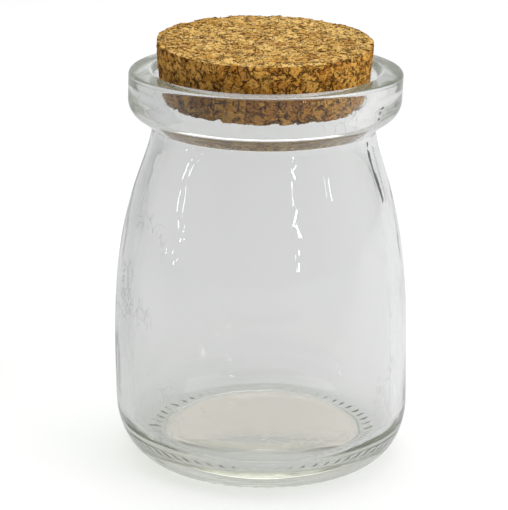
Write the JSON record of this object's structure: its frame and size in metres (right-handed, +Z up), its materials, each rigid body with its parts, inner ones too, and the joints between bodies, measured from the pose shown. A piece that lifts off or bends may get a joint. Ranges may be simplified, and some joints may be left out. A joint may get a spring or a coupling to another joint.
{
  "type": "glass storage jar with cork stopper",
  "caption": "Small wide-mouth clear glass jar with a heavy rim, rounded shoulders and a thick base, stopped by a flat disc of pressed cork.",
  "frame": {"origin": "middle of the ring the jar stands on, at the level of the table", "axes": "+Z up along the jar's axis, -Y towards the side shown in the picture, +X to the right of that side"},
  "size_m": [0.06, 0.06, 0.0868],
  "materials": {
    "glass": "clear pressed soda-lime glass, very slightly green where it is thick",
    "cork": "matt agglomerated cork, light brown granules with dark flecks"
  },
  "bodies": {
    "root": {"glass_jar": "glass", "cork_stopper": "cork"}
  },
  "joints": []
}
